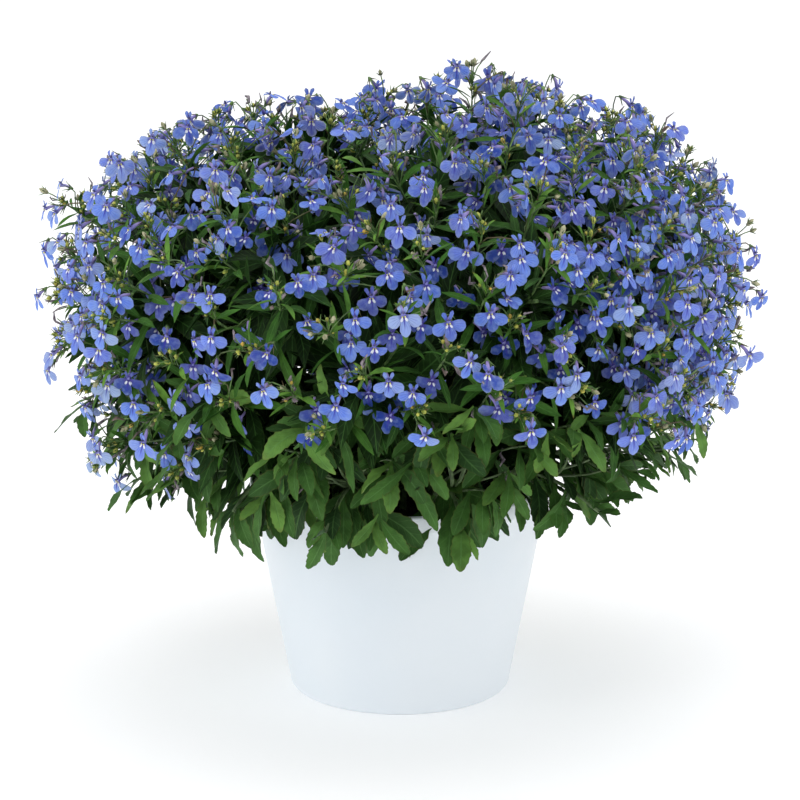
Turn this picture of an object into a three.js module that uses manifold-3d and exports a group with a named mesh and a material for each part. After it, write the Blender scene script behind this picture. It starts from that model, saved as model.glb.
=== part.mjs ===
// A trailing lobelia in a round plastic pot: a dome of thin leafy stems that spills over the rim,
// covered with two-lipped blooms. Units are millimetres, +Z is up, and the origin is the centre of
// the pot's flat base. The front of the plant faces -Y.
//
// The pieces are the pot, the potting mix, the flowering stems, one bloom spray on each of them,
// and the skirt stems, whose large toothed leaves hang over the rim.

import * as THREE from "three";
import { mergeVertices } from "three/addons/utils/BufferGeometryUtils.js";
import Module from "manifold-3d";

const wasm = await Module();
wasm.setup();

// ---------------------------------------------------------------- driving dimensions

const TOUCHING = 0.3; // the gap kept between two pieces that rest on each other

const POT = {
  height: 107,
  rimRadius: 75, // a 15 cm pot
  rimBand: 9, // height of the band round the rim
  rimStep: 1.6, // how far the band stands out from the wall
  baseRadius: 55.5,
  bevel: 3.5, // the rounded lower edge
  wall: 1.6,
  floor: 2.4,
  drainHoles: 6,
  drainRing: 36, // radius of the ring that the drain holes lie on
  drainRadius: 4,
  sides: 24,
};

const MIX = { edge: 92, top: 96 }; // the potting mix: its height at the wall and in the middle

const DOME = {
  radius: 176, // of the surface that the bloom faces lie on
  middle: 197, // height of the widest ring
  rise: 102, // from the widest ring to the top
  drop: 105, // from the widest ring to the underside
  power: 2.5, // 2 would be an ellipsoid, and more is squarer in the shoulders
  bloomFloor: 120, // no bloom sits lower than this
  frontLift: 44, // on the front the lowest blooms sit this much higher
};

const SPRAYS = 23;
const BLOOMS = 196;
const BLOOM_WIDTH = 27; // larger than life, so that fewer blooms still cover the dome
const HUB_DEPTH = 27; // the stalks of one spray meet this far under the blooms
const HUB_RADIUS = 3.6;
const SUNK = 5; // some blooms sit up to this far inside the dome
const FACING = { normal: 0.7, outward: 0.5, scatter: 0.22, tilt: 0.15, lowest: -0.25 };

const STEM_RADIUS = 2.1; // where it leaves the potting mix
const TIP_RADIUS = 0.8; // from its first ring of leaves on
const STEM_SIDES = 3;
const ROOTED = 18; // how deep each stem stands in the potting mix
const CLEARANCE = 0.7; // a leaf keeps at least about this far from every other piece
const BARE_STEM = 12; // no leaves grow this close above the potting mix

// Rings of leaves, from the lowest on a stem up: how far each is under the stem's end, how many
// leaves it has, how steeply they rise along the stem, and how long they may be.
const FLOWERING_WHORLS = [
  { below: 64, leaves: 7, lift: [0.2, 0.8], reach: 40 },
  { below: 36, leaves: 7, lift: [0.3, 0.9], reach: 42 },
  { below: 10, leaves: 8, lift: [0.5, 1.5], reach: 50 },
];

// The line of a flowering stem: the ring that the outermost one stands on, how much of its rise it
// climbs straight, and where it bends outwards, as shares of the way out and of the rise.
const FLOWERING_LINE = { footRing: 50, climb: 0.55, bendOut: 0.4, bendUp: 0.9 };

const SKIRT_STEMS = 12;

// The line of a skirt stem: the ring that it stands on, and how far out and how high over the rim
// it climbs, bends and ends. Every other one reaches further out.
const SKIRT_LINE = {
  climb: { out: 61, over: 20 },
  bend: { out: 90, over: 28 },
  ends: [
    { out: 112, over: 4 },
    { out: 132, over: 8 },
  ],
};
const SKIRT_WHORLS = [
  { below: 42, leaves: 7, lift: [0.2, 0.9], reach: 44 },
  { below: 8, leaves: 7, lift: [0.5, 1.2], reach: 42 },
];

const GOLDEN_ANGLE = Math.PI * (3 - Math.sqrt(5));
const UP = new THREE.Vector3(0, 0, 1);
const FRONT = -Math.PI / 2;

// ---------------------------------------------------------------- small tools

let seed = 20117;

// The next number from 0 to 1 of a fixed sequence, so that every run draws the same plant.
function draw() {
  seed = (seed * 1664525 + 1013904223) % 4294967296;
  return seed / 4294967296;
}

function drawBetween(low, high) {
  return low + (high - low) * draw();
}

function around(radius, turn, z) {
  return new THREE.Vector3(radius * Math.cos(turn), radius * Math.sin(turn), z);
}

// A geometry from points and triangles. Each triangle lists its corners anticlockwise from outside.
function polyhedron(points, triangles) {
  const geometry = new THREE.BufferGeometry();
  const numbers = points.flatMap((p) => [p.x, p.y, p.z]);
  geometry.setAttribute("position", new THREE.Float32BufferAttribute(numbers, 3));
  geometry.setIndex(triangles.flat());
  return geometry;
}

// A closed skin over a row of rings, which may differ in their number of points. Each ring runs
// anticlockwise as seen from the row's last ring, and the first and last ring are single points.
function loft(rings) {
  const triangles = [];
  let start = 0;
  for (let r = 0; r + 1 < rings.length; r++) {
    const low = rings[r].length;
    const high = rings[r + 1].length;
    const a = (i) => start + (i % low);
    const b = (j) => start + low + (j % high);
    const turnAt = (step, count) => (count > 1 && step < count ? (step + 0.5) / count : Infinity);
    let i = 0;
    let j = 0;
    while (turnAt(i, low) < Infinity || turnAt(j, high) < Infinity) {
      if (turnAt(i, low) <= turnAt(j, high)) {
        triangles.push([a(i), a(i + 1), b(j)]);
        i++;
      } else {
        triangles.push([a(i), b(j + 1), b(j)]);
        j++;
      }
    }
    start += low;
  }
  return polyhedron(rings.flat(), triangles);
}

// A closed geometry as a manifold-3d solid.
function solidOf(geometry) {
  const bare = geometry.clone();
  bare.deleteAttribute("normal");
  bare.deleteAttribute("uv");
  const merged = mergeVertices(bare, 1e-4);
  return new wasm.Manifold(
    new wasm.Mesh({
      numProp: 3,
      vertProperties: merged.getAttribute("position").array,
      triVerts: new Uint32Array(merged.index.array),
    }),
  );
}

function geometryOf(solid) {
  const { vertProperties, triVerts, numProp, numVert } = solid.getMesh();
  const positions = new Float32Array(numVert * 3);
  for (let i = 0; i < numVert; i++) {
    const start = i * numProp;
    positions.set(vertProperties.subarray(start, start + 3), i * 3);
  }
  const geometry = new THREE.BufferGeometry();
  geometry.setAttribute("position", new THREE.BufferAttribute(positions, 3));
  geometry.setIndex(new THREE.BufferAttribute(triVerts, 1));
  geometry.computeVertexNormals();
  return geometry;
}

// The union of some solids, without the loose scraps that can come off where they cross.
function joined(solids) {
  const bodies = solids.reduce((whole, solid) => whole.add(solid)).decompose();
  return bodies.reduce((largest, body) => (body.volume() > largest.volume() ? body : largest));
}

function boxesMeet(a, b) {
  const p = a.boundingBox();
  const q = b.boundingBox();
  return [0, 1, 2].every((i) => p.min[i] <= q.max[i] && q.min[i] <= p.max[i]);
}

// True where a piece stays clear of the others, also when it is nudged a little each way.
function isClear(geometry, others) {
  const nudges = [[0, 0, 0]];
  for (const step of [-CLEARANCE, CLEARANCE]) {
    nudges.push([step, 0, 0], [0, step, 0], [0, 0, step]);
  }
  return nudges.every((nudge) => {
    const nudged = solidOf(geometry.clone().translate(...nudge));
    return others.every((other) => !boxesMeet(nudged, other) || nudged.intersect(other).isEmpty());
  });
}

// A solid turned about +Z from a profile of [radius, height] points that starts and ends on the axis.
function turned(profile, sides) {
  const points = profile.map(([radius, height]) => new THREE.Vector2(radius, height));
  return solidOf(new THREE.LatheGeometry(points, sides).rotateX(Math.PI / 2));
}

// ---------------------------------------------------------------- the dome

// The ring of the dome at a slope from 0, the top, to PI, the underside.
function domeRing(slope) {
  const across = Math.sin(slope);
  const along = Math.cos(slope);
  const radius = DOME.radius * Math.pow(across, 2 / DOME.power);
  const reach = along >= 0 ? DOME.rise : -DOME.drop;
  return { radius, z: DOME.middle + reach * Math.pow(Math.abs(along), 2 / DOME.power) };
}

// Rings from the top down to the lowest blooms, with the share of the area that lies above each.
function measureDome(steps = 400) {
  const rings = [];
  let area = 0;
  let last = domeRing(1e-4);
  for (let i = 1; i <= steps; i++) {
    const ring = domeRing((Math.PI * i) / steps);
    area += Math.PI * (ring.radius + last.radius) * Math.hypot(ring.radius - last.radius, ring.z - last.z);
    rings.push({ ...ring, area });
    last = ring;
    if (ring.z < DOME.bloomFloor) {
      break;
    }
  }
  return rings.map((ring) => ({ ...ring, share: ring.area / area }));
}

const domeRings = measureDome();

// The point on the dome with that share of the flowering area above it, and its outward normal.
function onDome(share, turn) {
  const { radius, z } = domeRings.find((ring) => ring.share >= share);
  const reach = z >= DOME.middle ? DOME.rise : DOME.drop;
  const rise = z - DOME.middle;
  const outward = Math.pow(radius / DOME.radius, DOME.power - 1) / DOME.radius;
  const upward = (Math.sign(rise) * Math.pow(Math.abs(rise) / reach, DOME.power - 1)) / reach;
  return { point: around(radius, turn, z), normal: around(outward, turn, upward).normalize(), share, turn };
}

// The height below which no bloom sits: the front carries its blooms higher, over a band of leaves.
function bloomFloorAt(turn) {
  const facing = Math.max(0, Math.cos(turn - FRONT));
  return DOME.bloomFloor + DOME.frontLift * facing * facing;
}

// ---------------------------------------------------------------- pot and potting mix

function wallRadiusAt(z) {
  const top = POT.rimRadius - POT.rimStep;
  const climb = (z - POT.bevel) / (POT.height - POT.rimBand - POT.bevel);
  return POT.baseRadius + (top - POT.baseRadius) * climb;
}

function makePot() {
  const { height, rimRadius, rimBand, bevel, wall, floor } = POT;
  const lip = 1.2; // how much the rim's corners are rounded off
  const underRim = height - rimBand;
  const body = turned(
    [
      [0, 0],
      [POT.baseRadius - bevel, 0],
      [POT.baseRadius, bevel],
      [wallRadiusAt(underRim), underRim],
      [rimRadius, underRim + lip],
      [rimRadius, height - lip],
      [rimRadius - lip, height],
      [wallRadiusAt(height) - wall, height],
      [wallRadiusAt(bevel + floor) - wall, bevel + floor],
      [wallRadiusAt(floor) - wall - bevel, floor],
      [0, floor],
    ],
    POT.sides,
  );
  const drills = Array.from({ length: POT.drainHoles }, (_, i) => {
    const place = around(POT.drainRing, (i * 2 * Math.PI) / POT.drainHoles, 0);
    const drill = new THREE.CylinderGeometry(POT.drainRadius, POT.drainRadius, 4 * floor, 6);
    return solidOf(drill.rotateX(Math.PI / 2).translate(place.x, place.y, 0));
  });
  return drills.reduce((pot, drill) => pot.subtract(drill), body);
}

function makeMix(stems) {
  const corner = POT.bevel + POT.floor;
  const inside = (z) => wallRadiusAt(z) - POT.wall - 1.5 * TOUCHING;
  const shoulder = { width: 5, under: 1 }; // the mix slopes up from the wall over this width
  const body = turned(
    [
      [0, POT.floor + TOUCHING],
      [inside(POT.floor) - POT.bevel, POT.floor + TOUCHING],
      [inside(corner), corner],
      [inside(MIX.edge), MIX.edge],
      [inside(MIX.edge) - shoulder.width, MIX.top - shoulder.under],
      [0, MIX.top],
    ],
    POT.sides,
  );
  return stems.reduce((mix, stem) => mix.subtract(stemHole(stem)), body);
}

// A plain upright hole that a stem stands in.
function stemHole({ foot }) {
  const radius = (STEM_RADIUS + 2 * TOUCHING) * Math.SQRT2;
  const depth = ROOTED + TOUCHING;
  const hole = new THREE.CylinderGeometry(radius, radius, 2 * depth, 4).rotateX(Math.PI / 2);
  return solidOf(hole.translate(foot.x, foot.y, MIX.top));
}

// ---------------------------------------------------------------- blooms

// The outline of one bloom, as [across, up] in half widths: two narrow upper lobes and a broad
// lower lip of three lobes, with a notch between each two.
const BLOOM_OUTLINE = [
  [0, 0.26],
  [-0.3, 0.86],
  [-0.25, 0.2],
  [-0.86, 0.3],
  [-1, -0.34],
  [-0.38, -0.44],
  [-0.44, -1],
  [0.44, -1],
  [0.38, -0.44],
  [1, -0.34],
  [0.86, 0.3],
  [0.25, 0.2],
  [0.3, 0.86],
];
const TUBE_RADIUS = 2.2;
const TUBE_LENGTH = 5.5;
const THROAT_DEPTH = 1.4;
const LOBE_DROOP = 1.2; // how far the lobes' ends bend back
const LOBE_FROM = 0.7; // what lies further out than this, in half widths, is a lobe's end

// One bloom with its tube and its stalk, which narrows down to its root in the spray's hub.
function bloomSolid({ point, facing, root, width }) {
  const up = UP.clone().addScaledVector(facing, -UP.dot(facing)).normalize();
  const across = new THREE.Vector3().crossVectors(up, facing);
  const place = (x, y, z) =>
    point.clone().addScaledVector(across, x).addScaledVector(up, y).addScaledVector(facing, z);
  const face = BLOOM_OUTLINE.map(([x, y]) => {
    const isLobe = Math.hypot(x, y) > LOBE_FROM;
    return place((x * width) / 2, (y * width) / 2, isLobe ? -LOBE_DROOP : 0);
  });
  const collar = [0, 1, 2].map((i) => {
    const turn = Math.PI / 2 + (i * 2 * Math.PI) / 3;
    return place(TUBE_RADIUS * Math.cos(turn), TUBE_RADIUS * Math.sin(turn), -TUBE_LENGTH);
  });
  return solidOf(loft([[root], collar, face, [place(0, 0, -THROAT_DEPTH)]]));
}

// The knot of stem tips that the stalks of one spray grow from.
function hubSolid({ hub, normal }) {
  const knot = new THREE.OctahedronGeometry(HUB_RADIUS);
  knot.applyQuaternion(new THREE.Quaternion().setFromUnitVectors(UP, normal));
  return solidOf(knot.translate(hub.x, hub.y, hub.z));
}

// ---------------------------------------------------------------- leaves

// A leaf's full width, the least length that crowding leaves it, how far its tip bends back, as a
// share of its length, the thickness of the blade at its base, and its outline from the tip down,
// as [share of the length, share of the half width] of each point.
const NARROW_LEAF = { width: 9.5, shortest: 12, recurve: 0.05, thickness: 4.6, outline: [[0.6, 1]] };
const TOOTHED_LEAF = {
  width: 13,
  shortest: 17,
  recurve: 0.28,
  thickness: 4.6,
  outline: [
    [0.78, 0.6],
    [0.68, 1],
    [0.42, 0.8],
  ],
};
const FULL_WIDTH_FROM = 30; // shorter leaves are narrower in proportion
const SMALLEST_NOTCH = 5.6; // two neighbouring leaves part no closer to the stem than this
const NOTCH_SHARE = 0.32; // where they part, as a share of their mean spread
const LEAST_CUT = 4; // a leaf that touches something is shortened by this much at a time

// ---------------------------------------------------------------- stems

// The plan of a stem: its line, straight up out of the potting mix and then bending smoothly to
// its end, and the rings of leaves on it, all short at first.
function planStem({ turn, foot, above, bend, end, whorls, shape }) {
  const surface = foot.clone().setZ(MIX.top + 1);
  const curve = new THREE.CurvePath();
  curve.add(new THREE.LineCurve3(foot, surface));
  curve.add(new THREE.CubicBezierCurve3(surface, above, bend, end));
  const length = curve.getLength();
  const rings = whorls
    .filter(({ below }) => length - below > ROOTED + BARE_STEM)
    .map(({ below, leaves, lift: [low, high], reach }) => ({
      at: 1 - below / length,
      reach,
      leaves: Array.from({ length: leaves }, (_, i) => {
        const middle = (low + high) / 2;
        const lift = i % 2 ? drawBetween(middle, high) : drawBetween(low, middle);
        return { length: shape.shortest, lift };
      }),
    }));
  return { turn, foot, curve, shape, whorls: rings };
}

function planFloweringStem(index) {
  const share = (index + 0.5) / SPRAYS;
  const { point, normal, turn } = onDome(share, index * GOLDEN_ANGLE);
  const hub = point.clone().addScaledVector(normal, -HUB_DEPTH);
  const { footRing, climb, bendOut, bendUp } = FLOWERING_LINE;
  const footRadius = footRing * Math.sqrt(share);
  const end = hub.clone().addScaledVector(normal, -(HUB_RADIUS + 2 * TOUCHING));
  const endRadius = Math.hypot(end.x, end.y);
  const rise = end.z - MIX.top;
  const plan = planStem({
    turn,
    foot: around(footRadius, turn, MIX.top - ROOTED),
    above: around(footRadius, turn, MIX.top + rise * climb),
    bend: around(footRadius + (endRadius - footRadius) * bendOut, turn, MIX.top + rise * bendUp),
    end,
    whorls: FLOWERING_WHORLS,
    shape: NARROW_LEAF,
  });
  return { ...plan, hub, normal };
}

function planSkirtStem(index) {
  const turn = FRONT + ((index + 0.5) * 2 * Math.PI) / SKIRT_STEMS;
  const overRim = ({ out, over }) => around(out, turn, POT.height + over);
  const { climb, bend, ends } = SKIRT_LINE;
  return planStem({
    turn,
    foot: around(climb.out, turn, MIX.top - ROOTED),
    above: overRim(climb),
    bend: overRim(bend),
    end: overRim(ends[index % 2]),
    whorls: SKIRT_WHORLS,
    shape: TOOTHED_LEAF,
  });
}

// The points of a ring across a stem, from the [radius, angle, rise along the stem] of each.
function ringAcross({ curve, turn }, at, places) {
  const along = curve.getTangent(at);
  const side = around(1, turn + Math.PI / 2, 0);
  const outer = new THREE.Vector3().crossVectors(along, side);
  return places.map(([radius, angle, rise]) =>
    curve
      .getPoint(at)
      .addScaledVector(side, radius * Math.cos(angle))
      .addScaledVector(outer, radius * Math.sin(angle))
      .addScaledVector(along, rise),
  );
}

function stemRing(plan, at, radius, rise = 0) {
  const places = [0, 1, 2].map((i) => [radius, (i * 2 * Math.PI) / STEM_SIDES, rise]);
  return ringAcross(plan, at, places);
}

// The rim of a ring of leaves: for each leaf its tip, its edge, a notch, and the next leaf's edge.
function whorlRim(plan, { at, leaves }) {
  const { width, recurve, outline } = plan.shape;
  const wedge = (2 * Math.PI) / leaves.length;
  const spread = ({ length, lift }) => length / Math.hypot(1, lift);
  const place = (leaf, angle, s) => {
    const radius = s * spread(leaf);
    return [radius, angle, radius * leaf.lift - recurve * leaf.length * s * s];
  };
  const edge = (leaf, angle, way) =>
    outline.map(([s, w]) => {
      const half = (w * width * Math.min(1, leaf.length / FULL_WIDTH_FROM)) / 2;
      // This keeps the outline clear of the notch beside it.
      const room = wedge * (0.52 - 0.28 * s);
      return place(leaf, angle + way * Math.min(room, Math.atan(half / (s * spread(leaf)))), s);
    });
  const places = leaves.flatMap((leaf, i) => {
    const next = leaves[(i + 1) % leaves.length];
    const radius = Math.max(SMALLEST_NOTCH, (NOTCH_SHARE * (spread(leaf) + spread(next))) / 2);
    const notch = [radius, (i + 0.5) * wedge, (radius * (leaf.lift + next.lift)) / 4];
    const nextEdge = edge(next, (i + 1) * wedge, -1).reverse();
    return [place(leaf, i * wedge, 1), ...edge(leaf, i * wedge, 1), notch, ...nextEdge];
  });
  return ringAcross(plan, at, places);
}

// One ring of leaves by itself, closed at a point above and below.
function whorlGeometry(plan, whorl) {
  const apex = (rise) => ringAcross(plan, whorl.at, [[0, 0, rise]]);
  const { thickness } = plan.shape;
  return loft([apex(-thickness / 2), whorlRim(plan, whorl), apex(thickness / 2)]);
}

// A whole stem: a tapering root, the slender stem with its rings of leaves, and a pointed end.
function stemGeometry(plan) {
  const { curve, foot, whorls, shape } = plan;
  const rings = [[foot]];
  const bare = (ROOTED + 2) / curve.getLength();
  const first = whorls[0].at;
  const taper = [0, 0.35, 0.7]; // the rings below the first leaves, as shares of the way there
  for (const share of taper) {
    const radius = STEM_RADIUS + (TIP_RADIUS - STEM_RADIUS) * share;
    rings.push(stemRing(plan, bare + (first - bare) * share, radius));
  }
  for (const whorl of whorls) {
    rings.push(stemRing(plan, whorl.at, TIP_RADIUS, -shape.thickness / 2));
    rings.push(whorlRim(plan, whorl));
    rings.push(stemRing(plan, whorl.at, TIP_RADIUS, shape.thickness / 2));
  }
  rings.push([curve.getPoint(1)]);
  return loft(rings);
}

// ---------------------------------------------------------------- growing the plant

const floweringPlans = Array.from({ length: SPRAYS }, (_, i) => planFloweringStem(i));
const skirtPlans = Array.from({ length: SKIRT_STEMS }, (_, i) => planSkirtStem(i));

function nearestPlan(point) {
  return floweringPlans.reduce((best, plan) =>
    plan.hub.distanceTo(point) < best.hub.distanceTo(point) ? plan : best,
  );
}

function makeSprays() {
  const parts = new Map(floweringPlans.map((plan) => [plan, [hubSolid(plan)]]));
  for (let k = 0; k < BLOOMS; k++) {
    const { point, normal, turn } = onDome((k + 0.5) / BLOOMS, k * GOLDEN_ANGLE + 0.4);
    if (point.z < bloomFloorAt(turn)) {
      continue;
    }
    const plan = nearestPlan(point);
    const out = around(1, turn, 0);
    const facing = normal.clone().multiplyScalar(FACING.normal).addScaledVector(out, FACING.outward);
    const scatter = FACING.scatter * draw();
    facing.add(around(scatter, 2 * Math.PI * draw(), drawBetween(-FACING.tilt, FACING.tilt)));
    facing.setZ(Math.max(facing.z, FACING.lowest)).normalize();
    const sunk = point.clone().addScaledVector(normal, -drawBetween(0, SUNK));
    const toHub = plan.hub.clone().sub(sunk).normalize();
    const root = plan.hub.clone().addScaledVector(toHub, HUB_RADIUS * 0.45); // past the middle
    const width = BLOOM_WIDTH * drawBetween(0.92, 1.06);
    parts.get(plan).push(bloomSolid({ point: sunk, facing, root, width }));
  }
  return floweringPlans.map((plan) => joined(parts.get(plan)));
}

// Lengthens the leaves of one ring, one after another, as far as each stays clear of the rest.
function growWhorl(plan, whorl, others) {
  const { shortest } = plan.shape;
  const span = 2.2 * whorl.reach; // a box a little wider than the ring of leaves can grow
  const middle = plan.curve.getPoint(whorl.at);
  const space = solidOf(new THREE.BoxGeometry(span, span, span).translate(...middle));
  const near = others.filter((other) => boxesMeet(space, other));
  whorl.leaves.forEach((leaf, i) => {
    const alone = whorl.leaves.map((other, j) => (j === i ? leaf : { ...other, length: shortest }));
    leaf.length = whorl.reach * drawBetween(0.85, 1);
    while (leaf.length > shortest && !isClear(whorlGeometry(plan, { ...whorl, leaves: alone }), near)) {
      leaf.length = Math.max(shortest, leaf.length - LEAST_CUT);
    }
  });
}

const materials = {
  pot: new THREE.MeshStandardMaterial({ color: 0xe9eef2, roughness: 0.45, metalness: 0 }),
  mix: new THREE.MeshStandardMaterial({ color: 0x3a2a1e, roughness: 0.95, metalness: 0 }),
  foliage: new THREE.MeshStandardMaterial({ color: 0x3f6a2c, roughness: 0.6, metalness: 0 }),
  petal: new THREE.MeshStandardMaterial({ color: 0x6f86cf, roughness: 0.65, metalness: 0 }),
};

const plant = new THREE.Group();

function addPiece(name, solid, material) {
  const mesh = new THREE.Mesh(geometryOf(solid), material);
  mesh.name = name;
  plant.add(mesh);
}

function numbered(name, index) {
  return name + "_" + String(index + 1).padStart(2, "0");
}

const pot = makePot();
const plans = [...floweringPlans, ...skirtPlans];
const mix = makeMix(plans);
const sprays = makeSprays();
const stems = plans.map((plan) => solidOf(stemGeometry(plan)));

// Ring by ring from the top of the stems down, so that each stem gets its share of the space.
for (let rank = 1; rank <= FLOWERING_WHORLS.length; rank++) {
  plans.forEach((plan, i) => {
    const whorl = plan.whorls.at(-rank);
    if (!whorl) {
      return;
    }
    growWhorl(plan, whorl, [pot, mix, ...sprays, ...stems.filter((_, j) => j !== i)]);
    stems[i] = solidOf(stemGeometry(plan));
  });
}

addPiece("pot", pot, materials.pot);
addPiece("potting_mix", mix, materials.mix);
sprays.forEach((spray, i) => addPiece(numbered("bloom_spray", i), spray, materials.petal));
stems.forEach((stem, i) => {
  const name = i < SPRAYS ? numbered("flowering_stem", i) : numbered("skirt_stem", i - SPRAYS);
  addPiece(name, stem, materials.foliage);
});

export default plant;
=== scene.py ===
"""The looks of a potted trailing lobelia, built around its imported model.

The frame has +Z up, the origin under the middle of the pot, and the front of the plant facing -Y.
Lengths are in millimetres until a mesh is made from them, and the studio is in Blender's metres.

Every bloom spray, flowering stem and skirt stem of the model keeps its place and reach here, and
grows its real number of blooms, leaves, buds and capsules at their true size.
"""

from math import copysign, cos, hypot, pi, sin, sqrt

import bpy
import numpy as np
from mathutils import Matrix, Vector, noise


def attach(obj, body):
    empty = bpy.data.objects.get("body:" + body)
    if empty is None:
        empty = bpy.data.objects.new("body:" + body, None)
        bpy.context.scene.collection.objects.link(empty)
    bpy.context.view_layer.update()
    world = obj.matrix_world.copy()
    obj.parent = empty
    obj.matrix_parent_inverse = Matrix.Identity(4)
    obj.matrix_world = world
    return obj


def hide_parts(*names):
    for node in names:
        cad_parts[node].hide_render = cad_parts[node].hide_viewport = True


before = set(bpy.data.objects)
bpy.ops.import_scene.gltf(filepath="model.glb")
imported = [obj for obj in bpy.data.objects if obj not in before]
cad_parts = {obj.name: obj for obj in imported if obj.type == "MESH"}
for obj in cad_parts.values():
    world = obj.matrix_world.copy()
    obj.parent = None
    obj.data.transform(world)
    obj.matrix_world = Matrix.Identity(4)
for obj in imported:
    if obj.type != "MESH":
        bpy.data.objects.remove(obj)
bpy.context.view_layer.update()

MM = 0.001
BLOOM_SEED = 20117
SKIRT_SEED = 4
rng = np.random.default_rng(BLOOM_SEED)

# ---------------------------------------------------------------- driving dimensions

POT_HEIGHT = 107
RIM_RADIUS = 75
RIM_BAND = 9
RIM_STEP = 1.6
BASE_RADIUS = 55.5
BEVEL = 3.5
WALL = 1.6
FLOOR = 2.4
DRAIN_HOLES = 6
DRAIN_RING = 36
DRAIN_RADIUS = 4
MIX_EDGE = 92
MIX_TOP = 96

DOME_RADIUS = 176
DOME_MIDDLE = 197  # height of the widest ring
DOME_RISE = 102
DOME_DROP = 105
DOME_POWER = 2.5  # 2 would make it an ellipsoid, and more squares its shoulders
BLOOM_FLOOR = 120  # height of the flowering area's lower edge
FRONT_LIFT = 44  # and how much higher that is in front

SPRAYS = 23
HUB_DEPTH = 27  # a flowering stem ends this far under the dome
ROOTED = 18  # how deep a stem stands in the potting mix
FOOT_RING = 50  # the flowering stems stand inside this radius
CLIMB = 0.55  # a stem sets out straight up, towards this share of its rise
BEND_OUT = 0.4  # and bends at these shares of its way out and of its rise
BEND_UP = 0.9

SKIRT_STEMS = 12
SKIRT_CLIMB = (61, 20)  # how far out, and how far over the pot's rim
SKIRT_BEND = (90, 28)
SKIRT_ENDS = ((112, 4), (132, 8))

SHOOTS = 262  # flowering side shoots, each with its own blooms
LEAFY_SHOOTS = 84  # side shoots of the skirt stems, with toothed leaves and no blooms
SKIRT_LOW = 102  # the height of the lowest leafy shoots
SKIRT_OVERLAP = 24  # and how far the highest reach up among the blooms
SHOOT_DEPTHS = (6, 14)  # how far under the dome a shoot ends
STRAY_DEPTHS = (-4, 4)  # and the few that stand out
TUCK_UNDER = 11  # low shoots sit this much deeper
TUCKED = ((120, 155, 195), (0.2, 1, 0))  # heights, and the share of that at each
LEFT_SAG = (6, 0, -15)  # how far in and down the lowest shoots on the left hang
BLOOM_SPACING = 6.8  # two blooms keep at least this far apart

LUMPS = 6  # the dome swells and sinks by up to this much
LUMPS_SCALE = 0.022
LUMPS_SHIFT = Vector((-16.9, 19.1, -2.7))  # which part of the noise makes the lumps
CROWN_SWELL = 6  # the crown is this much higher right of the middle, and lower left of it
CROWN_WAVE = 38
CROWN_FROM = (225, 275)  # the height where that starts, and where it is full

# How many blooms a shoot has: everywhere, and added on top, at the dome's two edges, and in patches.
BLOOMS = 0.95
BLOOMS_ON_TOP = 1.9
TOP_FROM = (180, 270)
RIGHT_EDGE = {"high": 9.5, "low": 2.0, "heights": (190, 135)}
LEFT_EDGE = {"high": 1.0, "low": 6.0, "heights": (160, 120)}
PATCHES = 3.6
PATCH_SCALE = 0.028
PATCH_SHIFT = Vector((7.0, 3.0, 1.0))

# How low leaves may hang, as [radius, height], on the left and on the right.
LOWEST_ON_LEFT = ((98, 76), (112, 87), (142, 96), (158, 124))
LOWEST_ON_RIGHT = ((78, 85), (104, 94), (122, 104), (146, 113), (160, 126))
RIGHT_FROM = (70, 90)  # the one turns into the other between these x

TURN = 2 * pi
GOLDEN_ANGLE = pi * (3 - sqrt(5))
PLASTIC = 1.32471795724  # the root of x**3 = x + 1: its powers spread points evenly over an area
EVEN_TURNS = 1 / PLASTIC
EVEN_HEIGHTS = 1 / PLASTIC**2
FRONT = -pi / 2
UP = np.array([0.0, 0.0, 1.0])

# ---------------------------------------------------------------- vectors


def unit(vectors):
    """Vectors at length one."""
    return vectors / np.maximum(np.linalg.norm(vectors, axis=-1, keepdims=True), 1e-9)


def fade(value, start, full):
    """0 up to start, 1 from full on, and straight between them. full may be below start."""
    return np.clip((value - start) / (full - start), 0, 1)


def around(radius, turn, z):
    return np.array([radius * cos(turn), radius * sin(turn), z])


def across_to(direction, wish):
    """The unit vector closest to wish that is square to direction."""
    return unit(wish - direction * np.dot(wish, direction))


def leaning(axis, side, turn):
    """The axis, turned towards the side square to it."""
    return axis * cos(turn) + side * sin(turn)


def spin_round(axis, turn):
    """A unit vector square to the axis, at that turn about it."""
    wish = UP if abs(axis[2]) < 0.9 else np.array([1.0, 0.0, 0.0])
    side = across_to(axis, wish)
    return leaning(side, np.cross(axis, side), turn)


def bezier(a, b, c, d, count):
    """Points along a cubic curve."""
    t = np.linspace(0, 1, count)[:, None]
    return a * (1 - t) ** 3 + 3 * b * t * (1 - t) ** 2 + 3 * c * t**2 * (1 - t) + d * t**3


def along_path(path, distances):
    """Points and unit directions on a path, at distances measured back from its end."""
    steps = np.linalg.norm(np.diff(path, axis=0), axis=1)
    travelled = np.concatenate([[0], np.cumsum(steps)])
    places = np.clip(travelled[-1] - np.asarray(distances), 0, travelled[-1])
    points = np.stack([np.interp(places, travelled, path[:, i]) for i in range(3)], axis=1)
    index = np.clip(np.searchsorted(travelled, places) - 1, 0, len(steps) - 1)
    return points, unit(path[index + 1] - path[index])


# ---------------------------------------------------------------- objects and meshes


def new_object(name, data):
    made = bpy.data.objects.new(name, data)
    bpy.context.scene.collection.objects.link(made)
    return made


class Shape:
    """The points, faces and per-point marks of one piece, gathered from many small forms."""

    def __init__(self):
        self.points = []
        self.marks = []
        self.faces = []
        self.count = 0

    def add(self, points, marks, faces, material):
        """points and marks are (copies, points, 3). faces is a list of corner arrays of one copy."""
        copies, size = points.shape[:2]
        starts = self.count + size * np.arange(copies)
        for corners in faces:
            placed = corners[None] + starts[:, None, None]
            self.faces.append((placed.reshape(-1, corners.shape[1]), material))
        self.points.append(points.reshape(-1, 3))
        self.marks.append(marks.reshape(-1, 3))
        self.count += copies * size


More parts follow.
